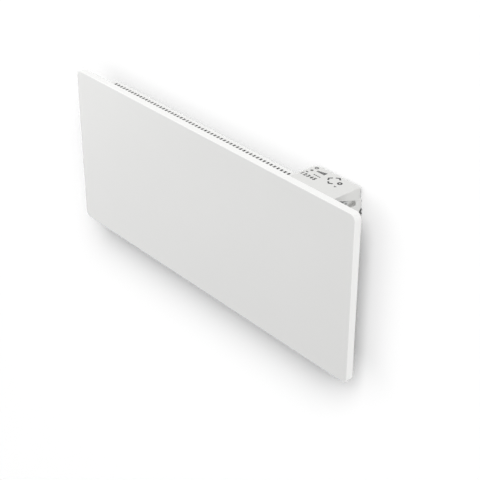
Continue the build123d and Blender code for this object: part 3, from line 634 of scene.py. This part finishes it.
def circuitBoard():
    values = boardValues
    finish = finishBuilder("circuitBoard", values)
    inputs = {"Vector": finish.vector, "Scale": values["tracks"],
              "Mortar Size": values["trackGap"], "Mortar Smooth": values["trackBlur"]}
    tracks = finish.node("ShaderNodeTexBrick", inputs).outputs["Fac"]
    drift = finish.drift(finish.mixColours(tracks, values["maskColour"], values["trackColour"]))
    inputs = {"Vector": finish.vector, "Scale": values["pads"]}
    pads = finish.node("ShaderNodeTexVoronoi", inputs).outputs["Distance"]
    mask = rangeNode(finish.tree, pads, values["padSpan"])
    finish.colour(finish.mixColours(mask, drift["Colour"], values["padColour"]))
    finish.roughness(drift["Mask"])
    finish.bump(tracks)
    return finish.material


# Braided glass sleeve of the element leads: two sets of bands that cross
sleeveValues = {
    "thread": (0.70, 0.67, 0.58),
    "gap": (0.40, 0.37, 0.30),
    "drift": (0.06, 50.0),
    "bands": 250.0,
    "wobble": 0.4,
    "turns": ((1.0, 1.0, 1.0), (1.0, -1.0, -1.0)),
    "roughness": (0.85, 0.65),
    "bump": (0.6, 0.0002),
}


def braidedSleeve():
    values = sleeveValues
    finish = finishBuilder("braidedSleeve", values)
    bands = []
    for turn in values["turns"]:
        mapping = finish.node("ShaderNodeMapping", {"Vector": finish.vector, "Scale": turn})
        inputs = {"Vector": mapping.outputs[0], "Scale": values["bands"],
                  "Distortion": values["wobble"]}
        wave = finish.node("ShaderNodeTexWave", inputs, bands_direction="DIAGONAL")
        bands.append(wave.outputs["Fac"])
    weave = mathNode(finish.tree, "MAXIMUM", *bands)
    drift = finish.drift(finish.mixColours(weave, values["gap"], values["thread"]))
    finish.colour(drift["Colour"])
    finish.roughness(weave)
    finish.bump(weave)
    return finish.material


# Dark printing ink of the touch marks, thinner in specks
inkValues = {
    "colour": (0.030, 0.030, 0.032),
    "patch": (2600.0, 3.0, 0.7),
    "patchSpan": (0.55, 0.72),
    "patchShare": (0.0, 0.6),
    "patchColour": (0.07, 0.07, 0.07),
    "roughness": (0.45, 0.6),
    "bump": (0.15, 0.00004),
}


def printedInk():
    finish = finishBuilder("printedInk", inkValues)
    specks = noiseNode(finish.tree, finish.vector, *inkValues["patch"])
    finish.colour(finish.patched(inkValues["colour"], specks))
    finish.roughness(specks)
    finish.bump(specks)
    return finish.material


finishes = {
    "white_enamel": evenFinish("whiteEnamel", enamelValues),
    "white_plastic": evenFinish("mouldedWhite", mouldedValues),
    "galvanised_steel": galvanisedSteel(),
    "element_aluminium": extrudedAluminium(),
    "sheath_steel": tintedSheath(),
    "white_ceramic": bareCeramic(),
    "grey_plastic": evenFinish("greyMoulding", greyValues),
    "black_plastic": evenFinish("darkMoulding", blackValues),
    "board_green": circuitBoard(),
    "black_rubber": evenFinish("grommetRubber", rubberValues),
    "lead_sleeve": braidedSleeve(),
}
inkFinish = printedInk()


def dressFrame():
    slots = {entry["node"]: entry["material_slot"] for entry in frame["record"]["subparts"]}
    for node, piece in frame["nodes"].items():
        piece.data.materials.clear()
        piece.data.materials.append(finishes[slots[node]])


dressFrame()
print("finishes on")


# Helpers for printed marks: flat outlines that lie on a surface
def addMark(name, mesh, body):
    mesh.materials.clear()
    mesh.materials.append(inkFinish)
    piece = bpy.data.objects.new(name, mesh)
    bpy.context.scene.collection.objects.link(piece)
    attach(piece, body)


def printOutlines(name, outlines, place, body):
    # Each outline gets a little thickness; place says where a point lies at level 0 or 1
    work = bmesh.new()
    for outline in outlines:
        under, over = ([work.verts.new(place(point, level)) for point in outline]
                       for level in (0, 1))
        work.faces.new(over)
        work.faces.new(under[::-1])
        count = len(outline)
        for number in range(count):
            follow = (number + 1) % count
            work.faces.new((under[number], under[follow], over[follow], over[number]))
    bmesh.ops.recalc_face_normals(work, faces=work.faces)
    mesh = bpy.data.meshes.new(name)
    work.to_mesh(mesh)
    work.free()
    addMark(name, mesh, body)


def strokeOutline(points, width, sharpest=0.4):
    # The outline of a line of even width through the points, with mitred corners
    left, right = [], []
    for number, point in enumerate(points):
        before = Vector(points[max(number - 1, 0)])
        after = Vector(points[min(number + 1, len(points) - 1)])
        here = Vector(point)
        ways = [way.normalized() for way in (here - before, after - here) if way.length > 0]
        along = sum(ways, Vector((0, 0))).normalized()
        across = Vector((-along.y, along.x))
        mitre = abs(across.dot(Vector((-ways[0].y, ways[0].x))))
        reach = width / 2 / max(sharpest, mitre)
        left.append(here + across * reach)
        right.append(here - across * reach)
    return left + right[::-1]


def ringStrips(centre, radius, width, steps=20):
    # A ring as short four-cornered strips
    inner, outer = radius - width / 2, radius + width / 2
    strips = []
    for number in range(steps):
        first, last = (math.tau * step / steps for step in (number, number + 1))
        corners = ((inner, first), (outer, first), (outer, last), (inner, last))
        strips.append([(centre[0] + reach * math.cos(angle), centre[1] + reach * math.sin(angle))
                       for reach, angle in corners])
    return strips


def rectangle(x, y, width, height):
    left, right = x - width / 2, x + width / 2
    low, high = y - height / 2, y + height / 2
    return [(left, low), (right, low), (right, high), (left, high)]


# Printed touch marks on the control box: an arrow pad, plain numbers, level bars and
# small signs
markValues = {
    "thickness": 0.00006,
    "padCentre": (0.3140, -0.0250),
    "padReach": 0.0145,
    "padTurns": (90, 180, 270),
    "arrowSpan": 0.0062,
    "arrowLean": 0.75,
    "line": 0.0034,
    "ringRadius": 0.0035,
    "ringWidth": 0.0036,
    "hintPlace": (0.3310, -0.0400),
    "hintSize": 0.0031,
    "numbers": "12345",
    "numberPlace": (0.2490, -0.0515),
    "numberHeight": 0.0082,
    "numberPitch": 0.0082,
    "numberWeight": 0.00065,
    "fontPerHeight": 1.42,
    "curveSteps": 3,
    "barPlace": (0.2665, -0.0240),
    "barPitch": 0.0036,
    "barWidth": 0.0029,
    "barTall": (0.0044, 0.0054, 0.0064, 0.0074, 0.0084, 0.0094),
    "dotPlace": (0.2720, -0.0355),
    "dotPitch": 0.0046,
    "dotSize": (0.0032, 0.0026),
    "dotCount": 4,
    "signs": ((0.2540, -0.0375), (0.2562, -0.0270), (0.2560, -0.0140)),
    "signSize": 0.0064,
    "signLine": 0.0025,
    "clockRim": 0.8,
}
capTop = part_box("control_cap")[1][2]  # the marks lie on the control box's top


def arrowPad():
    # Three chevrons that point outwards, a ring on the right and a small triangle below it
    values = markValues
    centre = Vector(values["padCentre"])
    shapes = []
    for turn in values["padTurns"]:
        angle = math.radians(turn)
        outwards = Vector((math.cos(angle), math.sin(angle)))
        tip = centre + outwards * values["padReach"]
        side = Vector((-outwards.y, outwards.x)) * values["arrowSpan"]
        back = outwards * values["arrowSpan"] * values["arrowLean"]
        shapes.append(strokeOutline([tip - back + side, tip, tip - back - side], values["line"]))
    ringCentre = (centre.x + values["padReach"], centre.y)
    shapes += ringStrips(ringCentre, values["ringRadius"], values["ringWidth"])
    x, y = values["hintPlace"]
    size = values["hintSize"]
    shapes.append([(x - size, y + size / 2), (x, y - size), (x + size, y + size / 2)])
    return shapes


def levelBars():
    # Bars that grow to the right, with a row of dots in front
    values = markValues
    x, y = values["barPlace"]
    shapes = []
    for number, tall in enumerate(values["barTall"]):
        place = x + values["barPitch"] * number
        shapes.append(rectangle(place, y + tall / 2, values["barWidth"], tall))
    x, y = values["dotPlace"]
    for number in range(values["dotCount"]):
        shapes.append(rectangle(x + values["dotPitch"] * number, y, *values["dotSize"]))
    return shapes


def smallSigns():
    # A minus, a plus and a clock face with one hand
    values = markValues
    size, line = values["signSize"], values["signLine"]
    minus, plus, clock = values["signs"]
    arm = (size - line) / 2
    armMiddle = (size + line) / 4
    handMiddle, handWidth, handLength = size / 10, line / 2, size / 3
    shapes = [rectangle(*minus, size, line), rectangle(*plus, size, line)]
    shapes += [rectangle(plus[0], plus[1] + way * armMiddle, line, arm) for way in (-1, 1)]
    shapes += ringStrips(clock, size / 2, line * values["clockRim"])
    shapes.append(rectangle(clock[0], clock[1] + handMiddle, handWidth, handLength))
    return shapes


def printNumbers():
    values = markValues
    x, y = values["numberPlace"]
    middle = capTop + values["thickness"] / 2
    for place, digit in enumerate(values["numbers"]):
        lettering = bpy.data.curves.new("digit", "FONT")
        lettering.body = digit
        lettering.size = values["numberHeight"] * values["fontPerHeight"]
        lettering.extrude = values["thickness"] / 2
        lettering.offset = values["numberWeight"]
        lettering.resolution_u = values["curveSteps"]
        holder = bpy.data.objects.new("digitHolder", lettering)
        mesh = bpy.data.meshes.new_from_object(holder)
        bpy.data.objects.remove(holder)
        mesh.transform(Matrix.Translation((x + place * values["numberPitch"], y, middle)))
        addMark(f"numberMark{digit}", mesh, "heater")


def onCap(point, level):
    return (point[0], point[1], capTop + level * markValues["thickness"])


def printMarks():
    marks = {"arrowPadMarks": arrowPad(), "levelBarMarks": levelBars(),
             "smallSignMarks": smallSigns()}
    for name, outlines in marks.items():
        printOutlines(name, outlines, onCap, "heater")
    printNumbers()


printMarks()
print("touch marks printed")


# A line and a ring on the two ends of the rocker's face
rockerValues = {
    "thickness": 0.00005,
    "castFrom": 1.0,
    "inset": 0.0043,
    "lineWidth": 0.0009,
    "lineHeight": 0.0040,
    "ringRadius": 0.0017,
    "ringWidth": 0.0008,
}


def onRocker():
    # Points are cast onto the rocker's curved face from well to its right
    mesh = frame["nodes"]["mains_rocker"].data
    corners = [vertex.co for vertex in mesh.vertices]
    surface = BVHTree.FromPolygons(corners, [tuple(face.vertices) for face in mesh.polygons])
    inwards = Vector((-1.0, 0.0, 0.0))

    def place(point, level):
        start = Vector((rockerValues["castFrom"], *point))
        spot = surface.ray_cast(start, inwards)[0]
        return spot - inwards * rockerValues["thickness"] * level

    return place


def markRocker():
    values = rockerValues
    low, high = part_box("mains_rocker")
    middle = (low[2] + high[2]) / 2
    line = rectangle(low[1] + values["inset"], middle, values["lineWidth"], values["lineHeight"])
    ringCentre = (high[1] - values["inset"], middle)
    ring = ringStrips(ringCentre, values["ringRadius"], values["ringWidth"])
    place = onRocker()
    printOutlines("rockerLineMark", [line], place, "rocker")
    printOutlines("rockerRingMark", ring, place, "rocker")


markRocker()
print("rocker marked")
